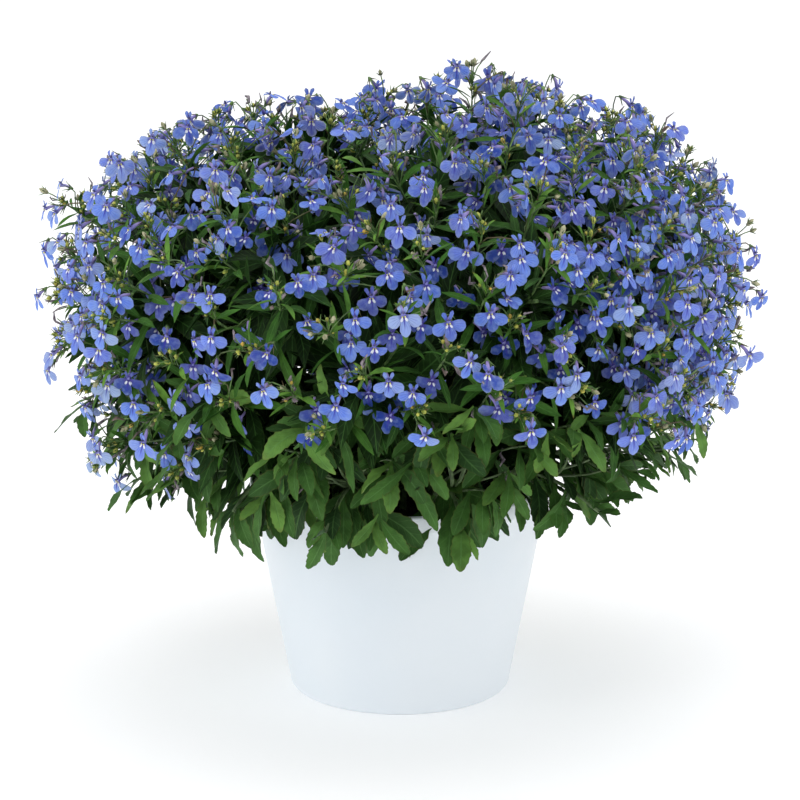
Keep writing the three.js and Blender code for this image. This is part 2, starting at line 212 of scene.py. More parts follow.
def mesh_piece(name, shape, materials, replaced=()):
    """One piece from a shape, with the shape's marks as an attribute of its points."""
    mesh = bpy.data.meshes.new(name)
    points = np.concatenate(shape.points) * MM
    mesh.vertices.add(len(points))
    mesh.vertices.foreach_set("co", points.astype(np.float32).ravel())
    loops = np.concatenate([corners.ravel() for corners, _ in shape.faces])
    sizes = np.concatenate([np.full(len(corners), corners.shape[1]) for corners, _ in shape.faces])
    kinds = [np.full(len(corners), materials.index(material)) for corners, material in shape.faces]
    mesh.loops.add(len(loops))
    mesh.loops.foreach_set("vertex_index", loops.astype(np.int32))
    mesh.polygons.add(len(sizes))
    starts = np.concatenate([[0], np.cumsum(sizes)[:-1]])
    mesh.polygons.foreach_set("loop_start", starts.astype(np.int32))
    mesh.polygons.foreach_set("material_index", np.concatenate(kinds).astype(np.int32))
    mesh.polygons.foreach_set("use_smooth", np.ones(len(sizes), bool))
    mesh.update(calc_edges=True)
    attribute = mesh.attributes.new("mark", "FLOAT_VECTOR", "POINT")
    attribute.data.foreach_set("vector", np.concatenate(shape.marks).astype(np.float32).ravel())
    for material in materials:
        mesh.materials.append(material)
    piece = new_object(name, mesh)
    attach(piece, "root")
    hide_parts(*replaced)


def grid_faces(rows, columns, start=0, flip=False):
    """Four-cornered faces over a grid of points."""
    at = start + np.arange(rows * columns).reshape(rows, columns)
    corners = np.stack([at[:-1, :-1], at[:-1, 1:], at[1:, 1:], at[1:, :-1]], axis=-1).reshape(-1, 4)
    return corners[:, ::-1] if flip else corners


FOLD_POWER = 1.2  # 1 would fold a blade sharply at its midrib


def add_blades(shape, rows, outline, columns, thickness, material, in_bloom=False, ripple=0):
    """Thin closed blades. outline is [share of the length, share of the half width], base first.

    A blade is a leaf or petal lobe. Its row is its base, direction, upper side, length, half
    width, lift and curl in radians, fold, tint, its turn in the plane of its bloom, and how far
    it sweeps to one side and twists about its midrib, in radians from base to tip.
    """
    numbers = np.array(rows, float)
    base, along, face = numbers[:, 0:3], numbers[:, 3:6], numbers[:, 6:9]
    length, half, lift, curl, fold, tint, turn, sweep, twist = numbers[:, 9:].T[:, :, None]
    side = np.cross(along, face)
    shares, widths = np.array(outline).T
    angles = lift - curl * (shares[1:] + shares[:-1]) / 2
    steps = length * np.diff(shares)
    walked = np.cumsum([steps * np.cos(angles), steps * np.sin(angles)], axis=2)
    forward, raised = np.pad(walked, ((0, 0), (0, 0), (1, 0)))[..., None]
    aside = (length * sweep * shares**2 / 2)[..., None]
    base, along, face, side = base[:, None], along[:, None], face[:, None], side[:, None]
    line = base + along * forward + face * raised + side * aside
    tilt = (lift - curl * shares)[..., None]
    roll = (twist * shares)[..., None]
    level = face * np.cos(tilt) - along * np.sin(tilt)
    wing = side * np.cos(roll) + level * np.sin(roll)
    over = level * np.cos(roll) - side * np.sin(roll)
    spread = (half * widths)[:, :, None]
    tapered = np.where((shares == shares[0]) | (shares == shares[-1]), 0, 1)[:, None]
    wave = ripple * half * np.sin(20 * tint + 15 * shares)
    copies = len(numbers)

    def skin(places, depth):
        """One side of the blades, sunk by depth along their middles, and its marks."""
        reach = spread * places
        height = fold[..., None] * spread * np.abs(places) ** FOLD_POWER
        height = height + wave[..., None] * places**2 * tapered
        height = height - depth * tapered * (1 - places**2)
        points = line[:, :, None] + wing[:, :, None] * reach[..., None]
        points = points + over[:, :, None] * height[..., None]
        if in_bloom:
            out = (length * shares)[..., None]
            x = np.cos(turn)[..., None] * out + np.sin(turn)[..., None] * reach
            y = np.sin(turn)[..., None] * out - np.cos(turn)[..., None] * reach
        else:
            x = np.broadcast_to(places, reach.shape)
            y = np.broadcast_to(shares[:, None], reach.shape)
        marks = np.stack([x, y, np.broadcast_to(tint[..., None], reach.shape)], axis=-1)
        return points.reshape(copies, -1, 3), marks.reshape(copies, -1, 3)

    top, top_marks = skin(np.linspace(-1, 1, columns), 0)
    bottom, bottom_marks = skin(np.linspace(-1, 1, 3), thickness)
    count = len(shares)
    faces = [grid_faces(count, columns, flip=True), grid_faces(count, 3, start=count * columns)]
    marks = np.concatenate([top_marks, bottom_marks], axis=1)
    shape.add(np.concatenate([top, bottom], axis=1), marks, faces, material)


def add_tubes(shape, paths, radii, sides, material, tint=0.5):
    """Closed round tubes along paths (copies, points, 3), with radii (copies, points)."""
    paths = np.asarray(paths, float)
    radii = np.broadcast_to(np.asarray(radii, float), paths.shape[:2])
    copies, count = paths.shape[:2]
    tangents = unit(np.gradient(paths, axis=1))
    wish = np.where(np.abs(tangents[:, :1, 2:]) < 0.9, UP, np.array([1.0, 0.0, 0.0]))
    side = unit(np.cross(tangents[:, 0], wish[:, 0]))
    rings = []
    for i in range(count):
        tangent = tangents[:, i]
        side = unit(side - tangent * np.sum(side * tangent, axis=1, keepdims=True))
        other = np.cross(tangent, side)
        turns = TURN * np.arange(sides) / sides
        spokes = side[:, None] * np.cos(turns)[:, None] + other[:, None] * np.sin(turns)[:, None]
        rings.append(paths[:, i, None] + spokes * radii[:, i, None, None])
    points = np.stack(rings, axis=1).reshape(copies, count * sides, 3)
    at = np.arange(count * sides).reshape(count, sides)
    after = np.roll(at, -1, axis=1)
    wall = np.stack([at[:-1], after[:-1], after[1:], at[1:]], axis=-1).reshape(-1, 4)
    faces = [wall, at[:1, ::-1], at[-1:]]
    along = np.broadcast_to(np.repeat(np.linspace(0, 1, count), sides), (copies, count * sides))
    tints = np.broadcast_to(np.reshape(tint, (-1, 1)), (copies, count * sides))
    shape.add(points, np.stack([np.zeros_like(along), along, tints], axis=-1), faces, material)


OVAL = [(-0.5, 0.3), (-0.32, 0.82), (0, 1), (0.3, 0.72), (0.5, 0.16)]
STUB = [(-0.5, 0.4), (0, 1), (0.5, 0.3)]


def add_beads(shape, centres, axes, length, radius, sides, material, tint=0.5, profile=OVAL):
    """Closed ovals about their centres, such as buds and seed capsules."""
    profile = np.array(profile)
    lengths = np.reshape(np.asarray(length, float), (-1, 1, 1))
    widths = np.reshape(np.asarray(radius, float), (-1, 1))
    paths = np.asarray(centres)[:, None] + np.asarray(axes)[:, None] * lengths * profile[:, :1]
    add_tubes(shape, paths, widths * profile[:, 1], sides, material, tint)


# ---------------------------------------------------------------- materials


class Nodes:
    """Short calls for the nodes of one tree, whose links come from their outputs."""

    def __init__(self, tree):
        self.tree = tree

    def fill(self, socket, value):
        """Links a socket to a node's output, or sets it. Colours are given without alpha."""
        if isinstance(value, bpy.types.NodeSocket):
            self.tree.links.new(value, socket)
        elif socket.type == "RGBA":
            socket.default_value = (*value, 1)
        else:
            socket.default_value = value

    def new(self, kind, inputs=None, **settings):
        node = self.tree.nodes.new(kind)
        for key, value in settings.items():
            setattr(node, key, value)
        for key, value in (inputs or {}).items():
            self.fill(node.inputs[key], value)
        return node

    def math(self, operation, a, b=0.0):
        return self.new("ShaderNodeMath", {0: a, 1: b}, operation=operation).outputs[0]

    def plus(self, a, b):
        return self.math("ADD", a, b)

    def times(self, a, b):
        return self.math("MULTIPLY", a, b)

    def ramp(self, value, low, high):
        """0 below low, 1 above high, and smooth between them."""
        inputs = {"Value": value, "From Min": low, "From Max": high}
        node = self.new("ShaderNodeMapRange", inputs, interpolation_type="SMOOTHSTEP")
        return node.outputs["Result"]

    def mix(self, share, a, b):
        return self.new("ShaderNodeMix", {0: share, 6: a, 7: b}, data_type="RGBA").outputs[2]

    def place(self, kind="Object"):
        return self.new("ShaderNodeTexCoord").outputs[kind]

    def parts(self, vector):
        return self.new("ShaderNodeSeparateXYZ", {0: vector}).outputs

    def noise(self, scale, detail=2.0):
        inputs = {"Vector": self.place(), "Scale": scale, "Detail": detail}
        return self.new("ShaderNodeTexNoise", inputs).outputs["Fac"]

    def mark(self):
        """The three marks of each point."""
        return self.parts(self.new("ShaderNodeAttribute", attribute_name="mark").outputs["Vector"])


class Look(Nodes):
    """One material: a Principled shader, whose colour is laid on in coats."""

    def __init__(self, name, colour, roughness):
        self.material = bpy.data.materials.new(name)
        self.material.use_nodes = True
        super().__init__(self.material.node_tree)
        self.set("Base Color", colour)
        self.set("Roughness", roughness)

    def set(self, name, value):
        self.fill(self.tree.nodes["Principled BSDF"].inputs[name], value)

    def blend(self, share, a, b):
        """Makes the colour a where share is 0, and b where it is 1."""
        self.hue = self.mix(share, a, b)
        self.set("Base Color", self.hue)

    def coat(self, share, colour, strength=1.0):
        """Lays a colour over the last, as strong as given where share is 1."""
        self.blend(self.times(share, strength), self.hue, colour)

    def emboss(self, height, strength, distance):
        inputs = {"Height": height, "Strength": strength, "Distance": distance}
        self.set("Normal", self.new("ShaderNodeBump", inputs).outputs["Normal"])


def scaled(colour, by, plus=0.0):
    return tuple(by * value + plus for value in colour)


def petal_material():
    """Blue, lighter or more violet from bloom to bloom, with fine veins that fan out of the throat."""
    n = Look("petal", (0.15, 0.25, 0.75), 0.65)
    x, y, tint = n.mark()
    n.blend(n.ramp(tint, 0.0, 0.5), (0.02, 0.05, 0.29), (0.14, 0.245, 0.77))
    n.coat(n.ramp(tint, 0.5, 1.0), (0.32, 0.42, 0.675))
    n.coat(n.ramp(n.noise(26.0, 0.0), 0.4, 0.7), (0.22, 0.23, 0.68), 0.4)
    # veins that fade outwards, mottling, and a paler rim
    far = n.math("POWER", n.plus(n.times(x, x), n.times(y, y)), 0.5)
    bearing = n.math("ARCTAN2", y, x)
    vein = n.ramp(n.math("SINE", n.times(bearing, 26.0)), 0.5, 1.0)
    n.coat(n.times(vein, n.ramp(far, 8.5, 3.0)), (0.045, 0.055, 0.34), 0.45)
    n.coat(n.ramp(n.noise(420.0), 0.4, 0.75), (0.4, 0.53, 0.72), 0.2)
    n.coat(n.ramp(far, 5.5, 9.0), (0.33, 0.44, 0.66), 0.25)
    # a dark line down the middle lobe, and a dark throat
    aside = n.math("ABSOLUTE", x)
    n.coat(n.times(n.ramp(aside, 0.55, 0.1), n.ramp(y, -6.5, -2.5)), (0.05, 0.04, 0.34), 0.85)
    n.coat(n.ramp(far, 2.6, 1.2), (0.07, 0.045, 0.3), 0.75)
    # a white spot on each side of the line
    below = n.plus(y, 1.4)
    dx = n.math("DIVIDE", n.math("SUBTRACT", aside, n.plus(n.times(below, -0.4), 0.9)), 0.45)
    dy = n.math("DIVIDE", below, 0.8)
    n.coat(n.ramp(n.plus(n.times(dx, dx), n.times(dy, dy)), 1.6, 0.5), (0.86, 0.89, 0.97))
    n.emboss(n.math("SINE", n.times(bearing, 34.0)), 0.25, 0.00012)
    n.set("Specular IOR Level", 0.05)
    n.set("Subsurface Weight", 0.3)
    n.set("Subsurface Radius", (1.0, 1.0, 1.0))
    n.set("Subsurface Scale", 0.0012)
    return n.material


def tube_material():
    """The corolla tube: rosy violet at the calyx, and bluer towards the throat."""
    n = Look("corolla_tube", (0.36, 0.26, 0.6), 0.5)
    _, along, _ = n.mark()
    n.blend(along, (0.38, 0.28, 0.62), (0.17, 0.19, 0.6))
    n.coat(n.noise(900.0), (0.5, 0.4, 0.7), 0.35)
    return n.material


def speckled_material(name, dark, light, roughness, scale, old=None):
    """Two tones blotched into each other for the small parts, and darker, or of old colour, by tint."""
    n = Look(name, light, roughness)
    _, _, tint = n.mark()
    n.blend(n.ramp(n.noise(scale, 4.0), 0.35, 0.65), dark, light)
    n.coat(n.ramp(tint, 0.65, 1.0), old or scaled(dark, 0.5), 0.8)
    return n.material


def leaf_material(name, old, middle, young, edge, burnt, blotched):
    """Green from dark to fresh by tint, with a pale midrib, side veins, and a brown edge and tip."""
    n = Look(name, middle, 0.55)
    u, v, tint = n.mark()
    n.blend(n.ramp(tint, 0.0, 0.55), old, middle)
    n.coat(n.ramp(tint, 0.55, 1.0), young)
    n.coat(n.ramp(n.noise(160.0, 4.0), 0.35, 0.7), scaled(old, 0.55), blotched)
    aside = n.math("ABSOLUTE", u)
    slant = n.math("SUBTRACT", n.times(v, 46.0), n.times(aside, 9.0))
    vein = n.ramp(n.math("SINE", slant), 0.72, 1.0)
    rib = n.ramp(aside, 0.12, 0.02)
    pale = scaled(middle, 1.5, 0.03)
    n.coat(vein, pale, 0.13)
    n.coat(rib, pale, 0.42)
    n.coat(n.ramp(aside, 0.86, 1.0), edge, 0.45)
    n.coat(n.times(n.ramp(v, 0.86, 1.0), n.ramp(tint, 0.6, 0.95)), (0.2, 0.07, 0.03), burnt)
    n.emboss(n.plus(n.times(vein, 0.5), rib), 0.4, 0.0003)
    n.set("Specular IOR Level", 0.14)
    return n.material


def pot_material():
    """Satin white moulded plastic, faintly uneven."""
    n = Look("pot_plastic", (0.8, 0.85, 0.89), 0.38)
    n.blend(n.ramp(n.noise(9.0, 3.0), 0.3, 0.7), (0.79, 0.85, 0.9), (0.84, 0.88, 0.91))
    rings = n.math("SINE", n.times(n.parts(n.place())[2], 700.0))
    n.emboss(n.plus(n.times(rings, 0.4), n.noise(700.0, 3.0)), 0.12, 0.0004)
    rough = n.new("ShaderNodeMapRange", {"Value": n.noise(60.0, 4.0), "To Min": 0.34, "To Max": 0.46})
    n.set("Roughness", rough.outputs["Result"])
    return n.material


def mix_material():
    """Damp peat, with lighter fibres."""
    n = Look("peat", (0.03, 0.018, 0.01), 0.95)
    n.blend(n.ramp(n.noise(320.0, 6.0), 0.4, 0.7), (0.012, 0.007, 0.004), (0.07, 0.04, 0.022))
    n.emboss(n.noise(500.0, 6.0), 0.9, 0.001)
    return n.material


PETAL = petal_material()
TUBE = tube_material()
EYE = speckled_material("eye_white", (0.78, 0.8, 0.92), (0.92, 0.93, 0.97), 0.5, 900.0)
SPOT = speckled_material("eye_yellow", (0.74, 0.7, 0.1), (0.85, 0.82, 0.22), 0.5, 900.0)
ANTHER = speckled_material("anther", (0.03, 0.03, 0.1), (0.14, 0.14, 0.28), 0.6, 900.0)
STALK = speckled_material("stalk", (0.06, 0.11, 0.035), (0.15, 0.27, 0.07), 0.55, 300.0, (0.12, 0.06, 0.03))
OLD_STEM = speckled_material("old_stem", (0.05, 0.085, 0.03), (0.13, 0.2, 0.08), 0.6, 200.0)
BUD = speckled_material("bud", (0.28, 0.34, 0.05), (0.56, 0.56, 0.1), 0.5, 420.0, (0.62, 0.27, 0.03))
CAPSULE = speckled_material("capsule", (0.22, 0.22, 0.11), (0.5, 0.48, 0.3), 0.7, 420.0)
WILTED = speckled_material("wilted", (0.1, 0.08, 0.1), (0.3, 0.26, 0.28), 0.8, 420.0, (0.14, 0.09, 0.06))
# The leaf's old colour is very dark: older leaves along the shoots have it, and the inner leaves take it as
# painted shade.
LEAF = leaf_material(
    "leaf", old=(0.008, 0.025, 0.005), middle=(0.053, 0.167, 0.021), young=(0.186, 0.39, 0.057),
    edge=(0.05, 0.09, 0.015), burnt=0.7, blotched=0.5,
)
BROAD = leaf_material(
    "broad_leaf", old=(0.024, 0.062, 0.018), middle=(0.062, 0.163, 0.03), young=(0.155, 0.32, 0.06),
    edge=(0.12, 0.1, 0.025), burnt=0.25, blotched=0.4,
)

PETAL_SLOTS = [PETAL, TUBE, EYE, SPOT, ANTHER]
STALK_SLOTS = [STALK, BUD, CAPSULE, WILTED]
LEAF_SLOTS = [LEAF, STALK, BROAD, OLD_STEM, WILTED]

# ---------------------------------------------------------------- the plan of the plant


def measure_dome(steps=400):
    """The radius, height and share of the flowering area above it, of each ring of the dome."""
    slope = np.linspace(1e-4, pi, steps + 1)
    across = np.sin(slope)
    along = np.cos(slope)
    radius = DOME_RADIUS * across ** (2 / DOME_POWER)
    reach = np.where(along >= 0, DOME_RISE, -DOME_DROP)
    z = DOME_MIDDLE + reach * np.abs(along) ** (2 / DOME_POWER)
    bands = pi * (radius[1:] + radius[:-1]) * np.hypot(np.diff(radius), np.diff(z))
    area = np.concatenate([[0], np.cumsum(bands)])
    last = int(np.argmax(z < BLOOM_FLOOR))
    return radius, z, area / area[last]


RING_RADIUS, RING_Z, RING_SHARE = measure_dome()


def dome_normal(radius, turn, z):
    rise = z - DOME_MIDDLE
    reach = DOME_RISE if rise >= 0 else DOME_DROP
    outward = (radius / DOME_RADIUS) ** (DOME_POWER - 1) / DOME_RADIUS
    upward = copysign((abs(rise) / reach) ** (DOME_POWER - 1), rise) / reach
    return unit(around(outward, turn, upward))


def on_dome(share, turn):
    """The point with that share of the flowering area above it, and the outward normal there."""
    radius = np.interp(share, RING_SHARE, RING_RADIUS)
    z = np.interp(share, RING_SHARE, RING_Z)
    return around(radius, turn, z), dome_normal(radius, turn, z)


def dome_at(z, turn):
    """The point of the dome at that height, and the outward normal there."""
    reach = DOME_RISE if z >= DOME_MIDDLE else DOME_DROP
    level = min(1.0, abs(z - DOME_MIDDLE) / reach)
    radius = DOME_RADIUS * (1 - level**DOME_POWER) ** (1 / DOME_POWER)
    return around(radius, turn, z), dome_normal(radius, turn, z)


def bloom_floor_at(turn):
    """How low the dome flowers in that direction."""
    facing = max(0.0, cos(turn - FRONT))
    return BLOOM_FLOOR + FRONT_LIFT * facing * facing


def stem_path(foot, above, bend, end, count=30):
    """A stem's line: straight up out of the potting mix, then bending smoothly to its end."""
    surface = np.array([foot[0], foot[1], MIX_TOP + 1.0])
    return np.concatenate([foot[None], bezier(surface, above, bend, end, count)])


def flowering_stem(index):
    """One stem from the potting mix to the hub of its spray."""
    share = (index + 0.5) / SPRAYS
    turn = index * GOLDEN_ANGLE
    point, normal = on_dome(share, turn)
    hub = point - HUB_DEPTH * normal
    foot_radius = FOOT_RING * sqrt(share)
    rise = hub[2] - MIX_TOP
    bend_radius = foot_radius + (hypot(hub[0], hub[1]) - foot_radius) * BEND_OUT
    path = stem_path(
        around(foot_radius, turn, MIX_TOP - ROOTED),
        around(foot_radius, turn, MIX_TOP + CLIMB * rise),
        around(bend_radius, turn, MIX_TOP + BEND_UP * rise),
        hub,
    )
    return {"hub": hub, "path": path}


def skirt_stem(index):
    """One stem that arches out over the rim, long and short by turns."""
    turn = FRONT + (index + 0.5) * TURN / SKIRT_STEMS
    route = (SKIRT_CLIMB, SKIRT_BEND, SKIRT_ENDS[index % 2])
    places = [around(out, turn, POT_HEIGHT + over) for out, over in route]
    foot = around(SKIRT_CLIMB[0], turn, MIX_TOP - ROOTED)
    return {"hub": places[-1], "path": stem_path(foot, *places)}


def side_shoot(stems, tip, heading, start):
    """A shoot to its tip, from a share of the way along the stem that ends nearest to it."""
    owner = int(np.argmin([np.linalg.norm(stem["hub"] - tip) for stem in stems]))
    path = stems[owner]["path"]
    first = int(start * (len(path) - 2))
    root = path[first]
    leave = unit(path[first + 1] - root)
    pull = 0.45 * np.linalg.norm(tip - root)
    line = bezier(root, root + leave * pull, tip - heading * pull, tip, 16)
    return {"owner": owner, "tip": tip, "path": line}


# ---------------------------------------------------------------- leaves

NARROW_OUTLINE = [(0, 0.2), (0.14, 0.4), (0.36, 0.85), (0.6, 1), (0.82, 0.7), (1, 0.06)]
TOOTHED_OUTLINE = [
    (0, 0.14), (0.16, 0.24), (0.32, 0.52), (0.45, 0.86), (0.49, 0.79), (0.59, 1), (0.63, 0.88),
    (0.73, 0.95), (0.77, 0.78), (0.85, 0.72), (0.88, 0.55), (0.95, 0.38), (1, 0.1),
]
INNER_OUTLINE = [(0, 0.25), (0.3, 0.8), (0.6, 1), (1, 0.06)]

FLESHY = 0.35  # a leaf's thickness at its midrib


def leaf_blade(base, along, light, length, half_width, tint):
    """A leaf along a direction, with its upper side to the light and a bend of its own."""
    face = across_to(along, light + rng.normal(0, 0.25, 3))
    curl = rng.uniform(0.2, 1.0)
    fold = rng.uniform(0.05, 0.45)
    sweep = rng.normal(0, 0.28)
    twist = rng.normal(0, 0.45)
    return [*base, *along, *face, length, half_width, 0.2, curl, fold, tint, 0, sweep, twist]


def leaf_starts(path, distances, wobble, openings):
    """Where alternate leaves grow at distances back from a shoot's tip, with two directions each.

    The first is the shoot's own there, and the second the one in which the leaf leaves it.
    """
    points, headings = along_path(path, distances)
    turn = rng.uniform(0, TURN)
    for point, heading in zip(points, headings):
        turn += GOLDEN_ANGLE + rng.normal(0, wobble)
        opening = rng.uniform(*openings)
        yield point, heading, leaning(heading, spin_round(heading, turn), opening)


def shoot_leaves(path, distances, lengths, ratio, tints):
    """The narrow leaves of a flowering shoot or stem. ratio is of half the width to the length."""
    rows = []
    starts = leaf_starts(path, distances, 0.25, (0.7, 1.25))
    for (point, heading, out), length, tint in zip(starts, lengths, tints):
        along = unit(out - UP * 0.1)
        half_width = length * ratio * rng.uniform(0.85, 1.15)
        rows.append(leaf_blade(point, along, UP * 0.75 + heading * 0.7, length, half_width, tint))
    return rows


def lowest_at(point):
    """How low a leaf may hang there: furthest beside the pot, and least at the outer edge."""
    radius = hypot(point[0], point[1])
    left, right = (np.interp(radius, *zip(*table)) for table in (LOWEST_ON_LEFT, LOWEST_ON_RIGHT))
    return left + (right - left) * fade(point[0], *RIGHT_FROM)


def hanging_leaves(path, distances, lengths, ratio, tints):
    """The leaves of a skirt shoot, hanging at all angles but ending above the plant's lower edge."""
    rows = []
    starts = leaf_starts(path, distances, 0.4, (0.45, 1.35))
    for (point, _, out), length, tint in zip(starts, lengths, tints):
        droop = rng.uniform(-0.1, 1.3) + 0.9 * fade(point[2], 145, 105)
        lowest = lowest_at(point + out * length * 0.6) + rng.uniform(-3, 16)
        along = unit(out - UP * droop)
        room = (point[2] - lowest) / max(-along[2], 0.1)
        length *= np.clip(room / length, 0.7, 1)
        while point[2] + length * along[2] < lowest and droop > -0.9:
            droop -= 0.1
            along = unit(out - UP * droop)
        outward = unit(np.array([point[0], point[1], 0.0]))
        half_width = length * ratio * rng.uniform(0.8, 1.2)
        tint += 0.25 * fade(point[2], 118, 93)
        rows.append(leaf_blade(point, along, UP * 0.8 + outward * 0.8, length, half_width, tint))
    return rows


# ---------------------------------------------------------------- blooms

LIP_OUTLINE = [(0, 0.34), (0.2, 0.5), (0.42, 0.86), (0.66, 1), (0.88, 0.72), (1, 0.16)]
HORN_OUTLINE = [(0, 0.45), (0.45, 0.8), (0.8, 1), (1, 0.3)]
DEEP_LIP_OUTLINE = [(0, 0.34), (0.4, 0.85), (0.75, 1), (1, 0.3)]
DEEP_HORN_OUTLINE = [(0, 0.5), (0.7, 1), (1, 0.3)]
TUBE_LENGTH = 7.2
LIP_LENGTH = 8.7
LIP_SPREAD = 1.08  # the side lobes' angle from the middle one
PETAL_THICKNESS = 0.25


def values(blooms, key):
    return np.array([bloom[key] for bloom in blooms])


def bloom_frames(blooms):
    """The throat of each bloom, and its own across, up and facing directions."""
    facing = unit(values(blooms, "facing"))
    up = unit(UP - facing * facing[:, 2:])
    roll = values(blooms, "roll")[:, None]
    across = np.cross(up, facing)
    rolled_up = up * np.cos(roll) + across * np.sin(roll)
    return values(blooms, "place"), np.cross(rolled_up, facing), rolled_up, facing


def add_lobes(shape, blooms, lip_outline, horn_outline, columns):
    """The three broad lobes of each lower lip, and the two narrow upper lobes."""
    throats, across, up, facing = bloom_frames(blooms)
    lips = []
    horns = []
    for i, bloom in enumerate(blooms):
        size = bloom["size"]
        for place in (-1, 0, 1):
            turn = -pi / 2 + place * LIP_SPREAD + rng.normal(0, 0.08)
            along = leaning(across[i], up[i], turn)
            length = size * LIP_LENGTH * (1 if place else 1.08) * rng.uniform(0.92, 1.05)
            half = size * (3.15 if place else 2.8) * rng.uniform(0.88, 1.08)
            base = throats[i] + along * 0.3 + facing[i] * (0.1 if place else 0.22)
            lift = bloom["openness"] + rng.normal(0, 0.1)
            curl = 0.85 + rng.normal(0, 0.25)
            fold = rng.uniform(-0.22, 0.02)
            tint = bloom["tint"] - (0 if place else 0.12) + rng.normal(0, 0.07)
            sweep = rng.normal(0, 0.12)
            bends = lift, curl, fold, tint, turn, sweep, 0
            lips.append([*base, *along, *facing[i], length, half, *bends])
        for place in (-1, 1):
            turn = pi / 2 + place * rng.uniform(0.2, 0.5)
            along = leaning(across[i], up[i], turn)
            base = throats[i] + along * 0.4 - facing[i] * 0.3
            length = size * rng.uniform(4.6, 6.0)
            half = size * rng.uniform(0.9, 1.15)
            curl = rng.uniform(0.2, 1.5)
            bends = 0.5, curl, 0.3, bloom["tint"], turn, 0, 0
            horns.append([*base, *along, *facing[i], length, half, *bends])
    add_blades(shape, lips, lip_outline, columns, PETAL_THICKNESS, PETAL, in_bloom=True)
    add_blades(shape, horns, horn_outline, 3, PETAL_THICKNESS, PETAL, in_bloom=True)


def add_tube(shape, blooms, sides):
    """The slender corolla tube from each calyx to its throat."""
    throats, _, up, _ = bloom_frames(blooms)
    size = values(blooms, "size")[:, None]
    ends = values(blooms, "calyx")
    shares = np.array([0, 0.55, 1])[:, None]
    bow = np.array([0, 0.5, 0])[:, None] * up[:, None]
    tubes = ends[:, None] * (1 - shares) + throats[:, None] * shares + bow
    add_tubes(shape, tubes, size * np.array([0.75, 0.95, 1.25]), sides, TUBE)


def add_eyes(shape, blooms):
    """The two white ridges with their yellow spots, and the anther column."""
    throats, across, up, facing = bloom_frames(blooms)
    size = values(blooms, "size")[:, None]
    for way in (-1, 1):
        lean = unit(across * 0.4 * way - up + facing * 0.1)
        ridge = throats + size * (across * 0.85 * way - up * 1.15 + facing * 0.35)
        add_beads(shape, ridge, lean, size * 1.1, size * 0.36, 4, EYE, profile=STUB)
        spot = throats + size * (across * 0.68 * way - up * 0.4 + facing * 0.65)
        add_beads(shape, spot, lean, size * 0.75, size * 0.44, 4, SPOT, profile=STUB)
    bend = throats + up * 1.5 + facing * 0.6
    tip = throats + up * 1.5 + facing * 1.7
    column = np.stack([throats - facing * 0.6 + up * 0.5, bend, tip], axis=1)
    add_tubes(shape, column, size * np.array([0.5, 0.62, 0.3]), 4, ANTHER)


def add_calyxes(shape, centres, axes, length):
    """Five narrow pointed sepals round each point, spreading along its axis."""
    paths = []
    for centre, axis, reach in zip(centres, axes, np.broadcast_to(length, len(centres))):
        start = rng.uniform(0, TURN)
        for i in range(5):
            radial = spin_round(axis, start + i * TURN / 5)
            opening = rng.uniform(0.4, 0.95)
            root = centre + radial * 0.45
            paths.append([root, root + reach * leaning(axis, radial, opening)])
    add_tubes(shape, paths, [0.42, 0.1], 3, STALK, rng.uniform(0, 1, len(paths)))


def crooked(centre, axis, length):
    """The line of a shrivelled corolla, bent at random."""
    kinks = rng.normal(0, 0.13 * length, (4, 3))
    return centre + axis * length * np.linspace(-0.5, 0.5, 4)[:, None] + kinks


def add_wilted(shape, places):
    """Shrivelled corollas: a thin tube that swells into a crumpled lip."""
    paths = [crooked(centre, axis, rng.uniform(5, 9)) for centre, axis in places]
    radii = rng.uniform(0.4, 0.9, (len(paths), 1)) * np.array([0.6, 0.8, 1.2, 0.4])
    add_tubes(shape, paths, radii, 4, WILTED, rng.uniform(0, 1, len(paths)))


# ---------------------------------------------------------------- growing the plant


def lumps(point):
    """How far the dome swells or sinks at a point, in millimetres."""
    wave = sin(np.clip(point[0] / CROWN_WAVE, -2.5, 2.5)) * fade(point[2], *CROWN_FROM)
    return LUMPS * noise.noise(Vector(point) * LUMPS_SCALE + LUMPS_SHIFT) + CROWN_SWELL * wave


def crowding(point):
    """How many blooms a shoot has there: more at the top and the sides, in uneven patches."""
    patch = PATCHES * noise.noise(Vector(point) * PATCH_SCALE + PATCH_SHIFT)
    edge = RIGHT_EDGE if point[0] > 0 else LEFT_EDGE
    most = edge["high"] + (edge["low"] - edge["high"]) * fade(point[2], *edge["heights"])
    side = most * (point[0] / DOME_RADIUS) ** 2
    return BLOOMS + BLOOMS_ON_TOP * fade(point[2], *TOP_FROM) + patch + side


def sag_on_left(point):
    """How far a shoot's tip hangs below the dome there: only the lowest ones on the left do."""
    share = fade(point[0], -70, -120) * fade(point[2], 172, 142)
    return share * np.array(LEFT_SAG)


def plan_shoots(stems):
    """The flowering shoots, each with the dome's outward normal there and its turn round it."""
    shoots = []
    for k in range(SHOOTS):
        share = (k + 0.5 + rng.uniform(-0.3, 0.3)) / SHOOTS
        turn = k * GOLDEN_ANGLE + rng.normal(0, 0.03)
        point, normal = on_dome(max(share, 0), turn)
        if point[2] < bloom_floor_at(turn) + rng.uniform(-6, 16):
            continue
        strays = 0.15 if abs(point[0]) < 140 else 0.05
        depths = STRAY_DEPTHS if rng.uniform() < strays else SHOOT_DEPTHS
        tuck = TUCK_UNDER * np.clip(1 - point[0] / 60, 0.3, 1)
        sunk = rng.uniform(*depths) + tuck * np.interp(point[2], *TUCKED)
        tip = point + normal * (lumps(point) - sunk) + sag_on_left(point)
        heading = unit(normal * 0.75 + UP * 0.35 + rng.normal(0, 0.16, 3))
        shoot = side_shoot(stems, tip, heading, rng.uniform(0.45, 0.85))
        shoots.append({**shoot, "normal": normal, "turn": turn})
    return shoots


